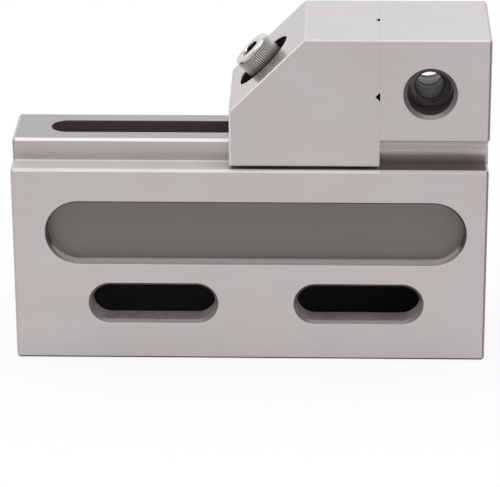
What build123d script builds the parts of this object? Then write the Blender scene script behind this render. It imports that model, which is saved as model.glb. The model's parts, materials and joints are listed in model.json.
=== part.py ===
from build123d import *
from math import cos, radians, sin, sqrt, tan
import os

# A precision wire EDM vise in millimetres: a one-piece ground body with its fixed jaw, a jaw that
# slides along the rail, and a slanted cap screw that pulls the jaw down and forward at once.
# X runs along the rail towards the fixed jaw, Z is up, and the origin is under the middle of the body.

# Body
body_length = 150.0
body_width = 40.0
base_height = 65.0
rail_width = 23.0
rail_rise = 7.1
body_chamfer = 0.8

# Fixed jaw, which overhangs the rail so that a clamp can reach under it
jaw_top = 108.0
fixed_jaw_length = 34.25
undercut_height = 9.5
fixed_jaw_chamfer = 0.7

# Hollow under the rail, open at the bottom
end_wall = 10.0
cavity_width = 25.0
cavity_corner = 6.0
ceiling_height = 58.0

# Slot through the rail for the screw
rail_slot_width = 10.0
rail_slot_from_left = 11.8
rail_slot_chamfer = 0.35
rail_slot_overlap = 2.0

# Long recess on each side, for holding clamps
pocket_height = 20.2
pocket_depth = 4.0
pocket_from_left = 10.9
pocket_from_right = 7.1
pocket_foot = 33.4
pocket_chamfer = 0.7

# Bolt slots through both side walls
bolt_slot_length = 39.5
bolt_slot_width = 12.0
bolt_slot_from_left = 24.5
bolt_slot_from_right = 20.6
bolt_slot_height = 19.4
bolt_slot_chamfer = 1.0

# Cross hole in the fixed jaw, counterbored from both sides
cross_hole_diameter = 9.0
cross_hole_from_end = 18.7
cross_hole_from_top = 17.6
counterbore_diameter = 14.5
counterbore_depth = 8.6
rear_counterbore_depth = 17.1
counterbore_chamfer = 1.25

# Sliding jaw
moving_jaw_length = 47.0
jaw_flat_length = 23.5
ramp_angle = 45.0
skirt_gap = 1.25
jaw_chamfer = 0.7
jaw_top_chamfer = 0.4
guide_clearance = 0.02
seam_clearance = 0.02

# V grooves in the clamping face, for holding a round bar lying down or standing
vee_width = 3.0
vee_from_top = 18.5

# Clamping screw with a hexagon socket, square to the ramp
screw_diameter = 8.0
screw_length = 70.0
screw_tip_chamfer = 1.0
head_diameter = 13.0
head_height = 8.0
head_chamfer = 0.6
head_above_ramp = 5.7
socket_width = 6.0
socket_depth = 4.0
socket_cone_angle = 30.0
screw_down_ramp = 18.75

# Ball washer under the head and the long seat that it tilts in
seat_width = 18.0
seat_play = 2.7
seat_chamfer = 0.3
ball_clearance = 0.05
washer_diameter = 16.5
washer_height = 5.0
washer_bore = 9.0

# Way through the jaw for the screw: it widens downwards, so that the screw can tip towards upright
passage_width = 9.5
passage_clearance = 0.6
screw_tip_angle = 5.0

# Cross nut and the row of half-round notches that it hooks into
nut_diameter = 12.0
nut_end_clearance = 0.5
nut_chamfer = 0.8
thread_clearance = 0.05
nut_below_notch = 5.0
notch_pitch = 16.0
notch_count = 6
notch_drop = 4.0
notch_widening = 1.2
notch_clearance = 0.1

# Places that follow from the sizes above
half_length = body_length / 2
half_width = body_width / 2
cavity_length = body_length - 2 * end_wall
pocket_length = body_length - pocket_from_left - pocket_from_right
pocket_x = (pocket_from_left - pocket_from_right) / 2
left_bolt_slot = -half_length + bolt_slot_from_left + bolt_slot_length / 2
right_bolt_slot = half_length - bolt_slot_from_right - bolt_slot_length / 2
rail_top = base_height + rail_rise
fixed_jaw_foot = base_height + undercut_height
clamp_x = half_length - fixed_jaw_length
cross_hole_x = half_length - cross_hole_from_end
cross_hole_z = jaw_top - cross_hole_from_top

jaw_front_x = clamp_x - seam_clearance
jaw_back_x = jaw_front_x - moving_jaw_length
jaw_foot = base_height + skirt_gap
ramp_top_x = jaw_front_x - jaw_flat_length
ramp_foot = jaw_top - (moving_jaw_length - jaw_flat_length) * tan(radians(ramp_angle))

up_slope = Vector(cos(radians(ramp_angle)), 0, sin(radians(ramp_angle)))
outward = Vector(-sin(radians(ramp_angle)), 0, cos(radians(ramp_angle)))
ramp_top = Vector(ramp_top_x, 0, jaw_top)
screw_on_ramp = ramp_top - up_slope * screw_down_ramp
ramp_plane = Plane(origin=screw_on_ramp, x_dir=up_slope, z_dir=outward)
head_sink = head_height - head_above_ramp
seat_plane = ramp_plane.offset(-head_sink)
pivot = seat_plane.origin
screw_axis = Axis(pivot, outward)
section_plane = Plane(origin=pivot, x_dir=(0, 1, 0), z_dir=up_slope)


def depth_at(height):
    """Distance along the screw from the pivot down to a level height."""
    return (pivot.Z - height) / outward.Z


seat_radius = seat_width / 2
ball_radius = seat_radius - ball_clearance
washer_radius = washer_diameter / 2
screw_radius = screw_diameter / 2
nut_radius = nut_diameter / 2
nut_length = cavity_width - 2 * nut_end_clearance
notch_radius = nut_radius + notch_widening
notch_seat_depth = depth_at(ceiling_height - notch_drop)
nut_depth = notch_seat_depth + nut_below_notch
seated_nut = pivot - outward * notch_seat_depth
nut_centre = pivot - outward * nut_depth
first_notch = seated_nut - outward * (notch_widening - notch_clearance)
selection_margin = 0.01


def on_side(edge, low, high):
    """True for an edge that lies in one of the two side faces, between two heights."""
    box = edge.bounding_box()
    flat = box.max.Y - box.min.Y < selection_margin
    outside = abs(abs(edge.center().Y) - half_width) < selection_margin
    return flat and outside and low < box.min.Z and box.max.Z < high


# Base block with chamfered edges all round
with BuildPart() as base_block:
    with BuildSketch():
        Rectangle(body_length, body_width)
    extrude(amount=base_height)
    chamfer(base_block.edges(), body_chamfer)

# Fixed jaw: the edges of its clamping face stay sharp
with BuildPart() as jaw_block:
    with BuildSketch(Plane.XY.offset(fixed_jaw_foot)):
        with Locations((clamp_x + fixed_jaw_length / 2, 0)):
            Rectangle(fixed_jaw_length, body_width)
    extrude(amount=jaw_top - fixed_jaw_foot)
    end_edges = jaw_block.faces().sort_by(Axis.X)[-1].edges()
    side_edges = jaw_block.edges().filter_by(Axis.X)
    lower_edges = side_edges.group_by(Axis.Z)[0]
    chamfer(end_edges + lower_edges, fixed_jaw_chamfer)
    top_face = jaw_block.faces().sort_by(Axis.Z)[-1]
    chamfer(top_face.edges().filter_by(Axis.X), jaw_top_chamfer)

# Rail, which rises into the neck under the fixed jaw
with BuildPart() as rail_block:
    with BuildSketch(Plane.XZ):
        with BuildLine():
            Polyline(
                (-half_length, base_height - body_chamfer),
                (half_length, base_height - body_chamfer),
                (half_length, fixed_jaw_foot + fixed_jaw_chamfer),
                (clamp_x, fixed_jaw_foot + fixed_jaw_chamfer),
                (clamp_x, rail_top),
                (-half_length, rail_top),
                close=True,
            )
        make_face()
    extrude(amount=rail_width / 2, both=True)
    rail_face = rail_block.faces().filter_by(Axis.Z).sort_by(SortBy.AREA)[-2]
    long_edges = rail_face.edges().filter_by(Axis.X)
    left_end = rail_block.faces().sort_by(Axis.X)[0]
    left_edges = left_end.edges().filter_by(Axis.Z) + left_end.edges().sort_by(Axis.Z)[-1:]
    chamfer(long_edges + left_edges, body_chamfer)

# Body: the three blocks are one piece of ground steel, with everything that is milled into it
with BuildPart() as vise_body:
    add(base_block.part)
    add(rail_block.part)
    add(jaw_block.part)

    # Hollow from below
    with BuildSketch():
        RectangleRounded(cavity_length, cavity_width, cavity_corner)
    extrude(amount=ceiling_height, mode=Mode.SUBTRACT)

    # Notches across the ceiling of the hollow
    with BuildSketch(Plane.XZ):
        for notch in range(notch_count):
            with Locations((first_notch.X - notch * notch_pitch, first_notch.Z)):
                Circle(notch_radius)
    extrude(amount=cavity_width / 2, both=True, mode=Mode.SUBTRACT)

    # Rail slot: a straight stretch, then a slanted end that runs with the screw
    slot_left = -half_length + rail_slot_from_left
    slot_slant = rail_slot_width / 2 / outward.Z
    slot_right = pivot.X - outward.X * depth_at(ceiling_height) - slot_slant + rail_slot_overlap
    with BuildSketch(Plane.XY.offset(ceiling_height - notch_drop)):
        with Locations(((slot_left + slot_right) / 2, 0)):
            SlotOverall(slot_right - slot_left, rail_slot_width)
    extrude(amount=rail_rise + base_height - ceiling_height + notch_drop, mode=Mode.SUBTRACT)
    slant_start = depth_at(rail_top) - rail_slot_width / 2
    slant_end = depth_at(ceiling_height) + 2 * rail_slot_width
    with BuildSketch(seat_plane.offset(-slant_start)):
        with Locations((-rail_slot_width / 2, 0)):
            SlotOverall(2 * rail_slot_width, rail_slot_width)
    extrude(amount=slant_start - slant_end, mode=Mode.SUBTRACT)
    top_edges = vise_body.edges().filter_by_position(
        Axis.Z, rail_top - selection_margin, rail_top + selection_margin
    )
    slot_edges = [edge for edge in top_edges if abs(edge.center().Y) < rail_slot_width / 2 + selection_margin]
    slot_edges = [edge for edge in slot_edges if -half_length + body_chamfer < edge.bounding_box().min.X]
    slot_edges = [edge for edge in slot_edges if edge.bounding_box().max.X < clamp_x - selection_margin]
    chamfer(slot_edges, rail_slot_chamfer)

    # Long recesses, one on each side
    for side in (-1, 1):
        with BuildSketch(Plane.XZ.offset(-side * half_width)):
            with Locations((pocket_x, pocket_foot + pocket_height / 2)):
                SlotOverall(pocket_length, pocket_height)
        extrude(amount=side * pocket_depth, mode=Mode.SUBTRACT)
    pocket_edges = vise_body.edges().filter_by(
        lambda edge: on_side(edge, pocket_foot - selection_margin, pocket_foot + pocket_height + selection_margin)
    )
    chamfer(pocket_edges, pocket_chamfer)

    # Bolt slots through both walls
    with BuildSketch(Plane.XZ):
        with Locations((left_bolt_slot, bolt_slot_height), (right_bolt_slot, bolt_slot_height)):
            SlotOverall(bolt_slot_length, bolt_slot_width)
    extrude(amount=half_width, both=True, mode=Mode.SUBTRACT)
    bolt_slot_foot = bolt_slot_height - bolt_slot_width / 2
    bolt_slot_edges = vise_body.edges().filter_by(
        lambda edge: on_side(
            edge, bolt_slot_foot - selection_margin, bolt_slot_foot + bolt_slot_width + selection_margin
        )
    )
    chamfer(bolt_slot_edges, bolt_slot_chamfer)

    # Cross hole in the fixed jaw
    hole_radius = cross_hole_diameter / 2
    bore_radius = counterbore_diameter / 2
    mouth_radius = bore_radius + counterbore_chamfer
    with BuildSketch(Plane(origin=(cross_hole_x, 0, cross_hole_z))):
        with BuildLine():
            Polyline(
                (0, -half_width),
                (mouth_radius, -half_width),
                (bore_radius, -half_width + counterbore_chamfer),
                (bore_radius, -half_width + counterbore_depth),
                (hole_radius, -half_width + counterbore_depth),
                (hole_radius, half_width - rear_counterbore_depth),
                (bore_radius, half_width - rear_counterbore_depth),
                (bore_radius, half_width - counterbore_chamfer),
                (mouth_radius, half_width),
                (0, half_width),
                close=True,
            )
        make_face()
    revolve(axis=Axis((cross_hole_x, 0, cross_hole_z), (0, 1, 0)), mode=Mode.SUBTRACT)

vise_body.part.label = "vise_body"

# Sliding jaw
with BuildPart() as movable_jaw:
    with BuildSketch(Plane.XZ):
        with BuildLine():
            Polyline(
                (jaw_back_x, jaw_foot),
                (jaw_front_x, jaw_foot),
                (jaw_front_x, jaw_top),
                (ramp_top_x, jaw_top),
                (jaw_back_x, ramp_foot),
                close=True,
            )
        make_face()
    extrude(amount=half_width, both=True)
    back_face = movable_jaw.faces().sort_by(Axis.X)[0]
    foot_edges = movable_jaw.edges().filter_by(Axis.X).group_by(Axis.Z)[0]
    chamfer(back_face.edges().filter_by(Axis.Z) + foot_edges, jaw_chamfer)
    outline = movable_jaw.edges().filter_by(lambda edge: edge.bounding_box().min.Z > ramp_foot - jaw_chamfer)
    long_outline = outline.filter_by(lambda edge: abs(edge.center().Y) > half_width - selection_margin)
    top_outline = long_outline.filter_by(lambda edge: edge.bounding_box().min.X < jaw_front_x - jaw_chamfer)
    chamfer(top_outline, jaw_top_chamfer)

    # Channel that straddles the rail
    with BuildSketch(Plane.YZ.offset(jaw_back_x)):
        with Locations((0, rail_top)):
            Rectangle(rail_width + 2 * guide_clearance, 2 * (rail_top - jaw_foot), align=(Align.CENTER, Align.MAX))
    extrude(amount=moving_jaw_length, mode=Mode.SUBTRACT)

    # V grooves, one level and one upright, in the clamping face
    vee_depth = vee_width / 2
    vee_z = jaw_top - vee_from_top
    with BuildSketch(Plane.XZ):
        with BuildLine():
            Polyline(
                (jaw_front_x, vee_z - vee_depth),
                (jaw_front_x, vee_z + vee_depth),
                (jaw_front_x - vee_depth, vee_z),
                close=True,
            )
        make_face()
    extrude(amount=half_width, both=True, mode=Mode.SUBTRACT)
    with BuildSketch(Plane.XY.offset(rail_top)):
        with BuildLine():
            Polyline(
                (jaw_front_x, -vee_depth),
                (jaw_front_x, vee_depth),
                (jaw_front_x - vee_depth, 0),
                close=True,
            )
        make_face()
    extrude(amount=jaw_top - rail_top, mode=Mode.SUBTRACT)

    # Seat for the ball washer: straight walls above the pivot and a ball-shaped trough below it
    with BuildSketch(seat_plane):
        SlotCenterToCenter(seat_play, seat_width)
    extrude(amount=head_sink, mode=Mode.SUBTRACT)
    ramp_face = movable_jaw.faces().sort_by(screw_axis)[-1]
    chamfer(ramp_face.inner_wires()[0].edges(), seat_chamfer)
    with BuildSketch(section_plane):
        Circle(seat_radius)
    extrude(amount=seat_play / 2, both=True, mode=Mode.SUBTRACT)
    with Locations(pivot + up_slope * (seat_play / 2), pivot - up_slope * (seat_play / 2)):
        Sphere(seat_radius, mode=Mode.SUBTRACT)

    # Passage for the screw
    passage_length = depth_at(rail_top) + head_diameter
    upper_reach = passage_width / 2
    start_reach = upper_reach + passage_clearance
    lower_reach = start_reach + passage_length * tan(radians(screw_tip_angle))
    for depth, reach in ((0, start_reach), (passage_length, lower_reach)):
        with BuildSketch(seat_plane.offset(-depth)):
            with Locations(((upper_reach - reach) / 2, 0)):
                SlotOverall(upper_reach + reach, passage_width)
    loft(mode=Mode.SUBTRACT)

movable_jaw.part.label = "movable_jaw"

# Clamping screw
with BuildPart() as clamp_screw:
    with BuildSketch(section_plane):
        with BuildLine():
            Polyline(
                (0, head_height),
                (head_diameter / 2 - head_chamfer, head_height),
                (head_diameter / 2, head_height - head_chamfer),
                (head_diameter / 2, 0),
                (screw_radius, 0),
                (screw_radius, screw_tip_chamfer - screw_length),
                (screw_radius - screw_tip_chamfer, -screw_length),
                (0, -screw_length),
                close=True,
            )
        make_face()
    revolve(axis=screw_axis)
    with BuildSketch(seat_plane.offset(head_height)):
        RegularPolygon(socket_width / 2, 6, major_radius=False)
    extrude(amount=-socket_depth, mode=Mode.SUBTRACT)
    cone_depth = socket_width / 2 * tan(radians(socket_cone_angle))
    with BuildSketch(section_plane):
        with BuildLine():
            Polyline(
                (0, head_height - socket_depth),
                (socket_width / 2, head_height - socket_depth),
                (0, head_height - socket_depth - cone_depth),
                close=True,
            )
        make_face()
    revolve(axis=screw_axis, mode=Mode.SUBTRACT)

clamp_screw.part.label = "clamp_screw"

# Ball washer: flat on top under the screw head, a zone of a ball below
with BuildPart() as ball_washer:
    rim_depth = sqrt(ball_radius**2 - washer_radius**2)
    foot_radius = sqrt(ball_radius**2 - washer_height**2)
    middle_depth = (rim_depth + washer_height) / 2
    middle_radius = sqrt(ball_radius**2 - middle_depth**2)
    with BuildSketch(section_plane):
        with BuildLine():
            Polyline(
                (foot_radius, -washer_height),
                (washer_bore / 2, -washer_height),
                (washer_bore / 2, 0),
                (washer_radius, 0),
                (washer_radius, -rim_depth),
            )
            ThreePointArc(
                (washer_radius, -rim_depth), (middle_radius, -middle_depth), (foot_radius, -washer_height)
            )
        make_face()
    revolve(axis=screw_axis)

ball_washer.part.label = "ball_washer"

# Cross nut: a round bar with the thread straight through its middle
with BuildPart() as cross_nut:
    with BuildSketch(Plane.XZ):
        with Locations((nut_centre.X, nut_centre.Z)):
            Circle(nut_radius)
    extrude(amount=nut_length / 2, both=True)
    chamfer(cross_nut.edges().filter_by(GeomType.CIRCLE), nut_chamfer)
    with BuildSketch(Plane(origin=nut_centre, x_dir=up_slope, z_dir=outward)):
        Circle(screw_radius + thread_clearance)
    extrude(amount=nut_diameter, both=True, mode=Mode.SUBTRACT)

cross_nut.part.label = "cross_nut"

os.makedirs("parts", exist_ok=True)
for piece in (vise_body, movable_jaw, clamp_screw, ball_washer, cross_nut):
    export_step(piece.part, f"parts/{piece.part.label}.step")
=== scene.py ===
"""Looks of a ground steel wire EDM vise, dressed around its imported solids.

Every length is written in millimetres and turned into metres where it meets Blender. The frame is the
part's own: X runs along the rail towards the fixed jaw, Y from the front face to the back face, Z up.
"""

import json
import logging
import math
from dataclasses import dataclass
from enum import Enum

import bmesh
import bpy
import numpy as np
from bpy.types import Material, Node, NodeTree, Object
from mathutils import Matrix

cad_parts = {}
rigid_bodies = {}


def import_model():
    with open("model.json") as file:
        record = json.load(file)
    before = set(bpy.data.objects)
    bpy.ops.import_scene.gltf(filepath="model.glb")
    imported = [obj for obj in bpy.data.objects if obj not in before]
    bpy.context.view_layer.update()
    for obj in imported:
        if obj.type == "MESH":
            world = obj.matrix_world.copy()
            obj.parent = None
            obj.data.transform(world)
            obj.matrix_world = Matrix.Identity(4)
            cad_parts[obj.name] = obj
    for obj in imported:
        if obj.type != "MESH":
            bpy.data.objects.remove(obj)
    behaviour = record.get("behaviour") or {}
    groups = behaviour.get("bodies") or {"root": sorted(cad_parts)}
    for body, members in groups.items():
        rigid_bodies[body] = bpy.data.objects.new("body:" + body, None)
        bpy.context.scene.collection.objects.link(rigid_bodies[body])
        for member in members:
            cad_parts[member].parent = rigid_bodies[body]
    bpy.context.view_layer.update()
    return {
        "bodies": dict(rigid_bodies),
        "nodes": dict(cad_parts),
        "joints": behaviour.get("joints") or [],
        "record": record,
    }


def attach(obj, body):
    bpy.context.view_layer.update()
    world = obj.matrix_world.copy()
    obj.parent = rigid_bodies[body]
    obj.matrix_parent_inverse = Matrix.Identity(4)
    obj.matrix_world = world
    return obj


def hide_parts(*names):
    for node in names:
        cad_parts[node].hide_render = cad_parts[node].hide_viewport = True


Array = np.ndarray
Color = tuple[float, float, float]
Place = tuple[float, float, float]
Span = tuple[float, float]
Socket = bpy.types.NodeSocket
Sockets = bpy.types.bpy_prop_collection

MM = 0.001
WHITE: Color = (1.0, 1.0, 1.0)
ALONG_Y: Place = (0.0, 1.0, 0.0)
log = logging.getLogger("wire_edm_vise")

# Distances at which a zone ends: beyond every face of the vise, past one face, and just off a face
FAR = 200.0
MARGIN = 1.0
SKIN = 0.05


class Slot(Enum):
    """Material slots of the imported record."""

    BODY = "ground_steel_body"
    JAW = "ground_steel_jaw"
    SCREW = "nickel_screw"
    WASHER = "black_washer"
    NUT = "black_nut"


class Grain(Enum):
    """How finely a tool's lines follow each other along X, Y and Z."""

    ALONG_X = (0.02, 1.0, 1.0)
    NONE = (1.0, 1.0, 1.0)


def in_metres(place: Place | Array) -> Place:
    """Turn a place in millimetres into metres."""
    return tuple(float(value) * MM for value in place)


# Node trees


class Tree:
    """Adds shader nodes to a tree and joins their sockets; every value may be a socket or a plain number."""

    def __init__(self, tree: NodeTree) -> None:
        """Start on the tree of a material, a world or a group, emptied first."""
        self.tree = tree
        self.tree.nodes.clear()

    def feed(self, socket: Socket, value: object) -> None:
        """Join an output to a socket, or write a plain value into it.

        Args:
            socket: the socket that takes the value.
            value: another node's output, or a number or colour.
        """
        if isinstance(value, Socket):
            self.tree.links.new(value, socket)
        else:
            socket.default_value = value

    def add(self, kind: str, *values: object, **settings: object) -> Node:
        """Add a node.

        Args:
            kind: Blender's identifier of the node type.
            values: what its first sockets get, in their order.
            settings: property values by name.

        Returns:
            The new node.
        """
        node = self.tree.nodes.new(kind)
        for name, value in settings.items():
            setattr(node, name, value)
        for socket, value in zip(node.inputs, values):
            self.feed(socket, value)
        return node

    def named(self, node: Node, **values: object) -> Sockets:
        """Feed a node's sockets by name, where underscores stand for spaces.

        Args:
            node: the node.
            values: what its sockets get.

        Returns:
            The node's outputs.
        """
        for name, value in values.items():
            self.feed(node.inputs[name.replace("_", " ")], value)
        return node.outputs

    def math(self, operation: str, *values: object, clamp: bool = False) -> Socket:
        """Scalar math of one, two or three values; clamp keeps the result between 0 and 1."""
        return self.add("ShaderNodeMath", *values, operation=operation, use_clamp=clamp).outputs[0]

    def vector(self, operation: str, *values: object) -> Socket:
        """Vector math of one or two vectors; a length and a dot product come out as numbers."""
        node = self.add("ShaderNodeVectorMath", *values, operation=operation)
        return node.outputs["Value" if operation in ("LENGTH", "DOT_PRODUCT") else "Vector"]

    def split(self, vector: Socket) -> tuple[Socket, ...]:
        """Separate a vector into its three parts."""
        return tuple(self.add("ShaderNodeSeparateXYZ", vector).outputs)

    def combine(self, x: object, y: object, z: object) -> Socket:
        """Join three numbers into a vector."""
        return self.add("ShaderNodeCombineXYZ", x, y, z).outputs[0]

    def remap(
        self, value: Socket, low: float, high: float, before: object = 0.0, after: object = 1.0
    ) -> Socket:
        """Smooth step: before below low, after above high, and an S curve between them.

        Args:
            value: socket to read.
            low: value where the step starts.
            high: value where the step ends.
            before: result below it.
            after: result above it.

        Returns:
            The result socket.
        """
        node = self.add("ShaderNodeMapRange", interpolation_type="SMOOTHSTEP")
        outputs = self.named(node, Value=value, From_Min=low, From_Max=high, To_Min=before, To_Max=after)
        return outputs["Result"]

    def noise(self, vector: Socket, scale: object, detail: float, roughness: float) -> Socket:
        """Fractal noise between about 0.2 and 0.8, with its mean at 0.5.

        Args:
            vector: coordinates in metres.
            scale: features for each metre.
            detail: number of finer layers.
            roughness: weight of the finer layers.

        Returns:
            The noise value.
        """
        node = self.add("ShaderNodeTexNoise")
        return self.named(node, Vector=vector, Scale=scale, Detail=detail, Roughness=roughness)[0]

    def mix(self, share: object, first: object, second: object) -> Socket:
        """Blend two colours.

        Args:
            share: 0 gives the first colour and 1 the second.
            first: colour or socket.
            second: colour or socket.

        Returns:
            The blended colour.
        """
        node = self.add("ShaderNodeMix", share, data_type="RGBA")
        for socket, color in zip(node.inputs[6:8], (first, second)):
            self.feed(socket, color if isinstance(color, Socket) else (*color, 1.0))
        return node.outputs[2]

    def blend(self, share: object, first: object, second: object) -> Socket:
        """Blend two numbers: first + share (second - first)."""
        return self.math("MULTIPLY_ADD", self.math("SUBTRACT", second, first), share, first)

    def swing(self, value: Socket, middle: float, contrast: object) -> Socket:
        """Turn a value that varies round its middle into a factor: 1 + contrast (value - middle)."""
        return self.math("MULTIPLY_ADD", self.math("SUBTRACT", value, middle), contrast, 1.0)

    def ends_softly(self, beyond: Socket, edge: object) -> Socket:
        """Mask that is 1 inside an outline and 0 beyond it: 0.5 - beyond / edge, held between 0 and 1."""
        return self.math("SUBTRACT", 0.5, self.math("DIVIDE", beyond, edge), clamp=True)

    def tint(self, color: object, factor: object) -> Socket:
        """Multiply a colour by a grey factor."""
        return self.named(self.add("ShaderNodeVectorMath", color, operation="SCALE"), Scale=factor)[0]


def new_group(name: str, vectors: tuple, numbers: tuple, results: tuple) -> tuple[Tree, Sockets, Sockets]:
    """Make an empty shader node group.

    Args:
        name: name of the group.
        vectors: names of its vector inputs.
        numbers: names of its number inputs.
        results: names of its outputs, all numbers.

    Returns:
        The helper for its tree, the sockets that bring its inputs and the sockets that take its results.
    """
    group = bpy.data.node_groups.new(name, "ShaderNodeTree")
    sockets = (
        ("INPUT", "NodeSocketVector", vectors),
        ("INPUT", "NodeSocketFloat", numbers),
        ("OUTPUT", "NodeSocketFloat", results),
    )
    for side, kind, labels in sockets:
        for label in labels:
            group.interface.new_socket(label, in_out=side, socket_type=kind)
    tree = Tree(group)
    return tree, tree.add("NodeGroupInput").outputs, tree.add("NodeGroupOutput").inputs


class SharedEffects:
    """Node groups that more than one finish uses."""

    def __init__(self) -> None:
        """Build each group once."""
        self.grain, self.clouds = self.tool_grain(), self.soft_clouds()
        self.box_zone, self.bore_zone = self.zone_of_box(), self.zone_of_bore()

    @staticmethod
    def tool_grain(coarse_share: float = 0.23, coarse_weight: float = 0.4) -> NodeTree:
        """Fine lines of a grinding wheel or cutter: noise drawn out along one direction.

        Args:
            coarse_share: coarse lines for each fine one.
            coarse_weight: their part of the height.

        Returns:
            Group with a Tone around 1 and a Height around 0.5.
        """
        tree, given, results = new_group(
            "tool_grain", ("Vector", "Stretch"), ("Lines Per Metre", "Contrast"), ("Tone", "Height")
        )
        drawn = tree.vector("MULTIPLY", given["Vector"], given["Stretch"])
        coarse_lines = tree.math("MULTIPLY", given["Lines Per Metre"], coarse_share)
        fine = tree.noise(drawn, given["Lines Per Metre"], detail=2.0, roughness=0.6)
        coarse = tree.noise(drawn, coarse_lines, detail=1.0, roughness=0.5)
        height = tree.blend(coarse_weight, fine, coarse)
        tree.feed(results["Tone"], tree.swing(height, 0.5, given["Contrast"]))
        tree.feed(results["Height"], height)
        return tree.tree

    @staticmethod
    def soft_clouds(shift: Place = (0.31, 0.17, 0.23), warm_step: Span = (0.35, 0.65)) -> NodeTree:
        """Broad faint patches that polished or heat treated steel shows.

        Args:
            shift: how far the warm patches stand off the light ones, in metres.
            warm_step: noise at which warmth begins and is full.

        Returns:
            Group with a Tone around 1 and a Warmth between 0 and 1.
        """
        tree, given, results = new_group(
            "soft_clouds", ("Vector",), ("Patches Per Metre", "Contrast"), ("Tone", "Warmth")
        )
        patches = tree.noise(given["Vector"], given["Patches Per Metre"], detail=2.0, roughness=0.55)
        moved = tree.vector("ADD", given["Vector"], shift)
        warm = tree.noise(moved, given["Patches Per Metre"], detail=1.0, roughness=0.5)
        tree.feed(results["Tone"], tree.swing(patches, 0.5, given["Contrast"]))
        tree.feed(results["Warmth"], tree.remap(warm, *warm_step))
        return tree.tree

    @staticmethod
    def zone_of_box() -> NodeTree:
        """Mask of a box: 1 inside and 0 outside, with a narrow soft edge.

        Returns:
            Group with a Mask.
        """
        tree, given, results = new_group("box_zone", ("Vector", "Centre", "Half Size"), ("Edge",), ("Mask",))
        offset = tree.vector("ABSOLUTE", tree.vector("SUBTRACT", given["Vector"], given["Centre"]))
        x, y, z = tree.split(tree.vector("SUBTRACT", offset, given["Half Size"]))
        beyond = tree.math("MAXIMUM", tree.math("MAXIMUM", x, y), z)
        tree.feed(results["Mask"], tree.ends_softly(beyond, given["Edge"]))
        return tree.tree

    @staticmethod
    def zone_of_bore() -> NodeTree:
        """Mask of a round bore along a direction: 1 near its axis and 0 outside its radius.

        Returns:
            Group with a Mask.
        """
        tree, given, results = new_group(
            "bore_zone", ("Vector", "Centre", "Direction"), ("Radius", "Edge"), ("Mask",)
        )
        offset = tree.vector("SUBTRACT", given["Vector"], given["Centre"])
        distance = tree.vector("LENGTH", tree.vector("CROSS_PRODUCT", offset, given["Direction"]))
        beyond = tree.math("SUBTRACT", distance, given["Radius"])
        tree.feed(results["Mask"], tree.ends_softly(beyond, given["Edge"]))
        return tree.tree


# Metals and the zones of their surfaces


@dataclass(frozen=True)
class SteelTone:
    """Colour and gloss of one machined steel surface; a low metallic share makes it matt."""

    color: Color
    roughness: float
    metallic: float = 1.0


class Metal(Tree):
    """Tree of one metal: its shader, the object coordinates and the shared effects."""

    def __init__(self, name: str, effects: SharedEffects) -> None:
        """Make the material and join its shader to the output.

        Args:
            name: name of the material.
            effects: shared node groups.
        """
        self.material = bpy.data.materials.new(name)
        self.material.use_nodes = True
        super().__init__(self.material.node_tree)
        self.effects = effects
        self.shader = self.add("ShaderNodeBsdfPrincipled")
        self.place = self.add("ShaderNodeTexCoord").outputs["Object"]
        self.add("ShaderNodeOutputMaterial", self.shader.outputs[0])

    def effect(self, group: NodeTree, **values: object) -> Sockets:
        """Place a shared effect with its own values and return its outputs."""
        return self.named(self.add("ShaderNodeGroup", node_tree=group), **values)

    def clouds(self, size: float, contrast: float) -> Sockets:
        """Place faint clouds of a size in millimetres."""
        return self.effect(
            self.effects.clouds, Vector=self.place, Patches_Per_Metre=1 / (size * MM), Contrast=contrast
        )

    def lines(
        self, grain: Grain, per_mm: float, contrast: float, place: Socket | None = None
    ) -> Sockets:
        """Place one set of tool lines.

        Args:
            grain: direction of the lines.
            per_mm: lines for each millimetre.
            contrast: how far they change the tone.
            place: coordinates that they follow, or none for the piece's own.

        Returns:
            The effect's outputs.
        """
        return self.effect(
            self.effects.grain,
            Vector=self.place if place is None else place,
            Stretch=grain.value,
            Lines_Per_Metre=per_mm / MM,
            Contrast=contrast,
        )

    def union(self, zones: "tuple[Zone, ...]") -> Socket | float:
        """Mask of everything that lies in at least one of several zones.

        Args:
            zones: the zones to join.

        Returns:
            The mask, or plain 0 where there is no zone.
        """
        mask: Socket | float = 0.0
        for zone in zones:
            mask = self.math("MAXIMUM", mask, zone.mask(self))
        return mask

    def lay_tones(self, zones: "Zones", color: object, roughness: Socket) -> tuple[object, Socket, object]:
        """Lay the tone of each zone, in order, over the tone of the whole surface.

        Args:
            zones: tones, each with the zones that it fills.
            color: colour outside all zones.
            roughness: roughness outside all zones.

        Returns:
            Colour, roughness and metallic share.
        """
        metallic: Socket | float = 1.0
        for tone, places in zones:
            mask = self.union(places)
            color = self.mix(mask, color, tone.color)
            roughness = self.blend(mask, roughness, tone.roughness)
            metallic = self.blend(mask, metallic, tone.metallic)
        return color, roughness, metallic

    def finish(
        self, tones: tuple[object, Socket, object], shade: Socket, height: Socket, depth: float
    ) -> Material:
        """Join the results to the shader.

        Args:
            tones: colour, roughness and metallic share.
            shade: grey factor on the colour.
            height: height of the marks, between 0 and 1.
            depth: their depth in millimetres.

        Returns:
            The material.
        """
        color, roughness, metallic = tones
        normal = self.named(self.add("ShaderNodeBump"), Strength=1.0, Distance=depth * MM, Height=height)[0]
        self.named(
            self.shader,
            Base_Color=self.tint(color, shade),
            Roughness=roughness,
            Metallic=metallic,
            Normal=normal,
        )
        return self.material


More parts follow.
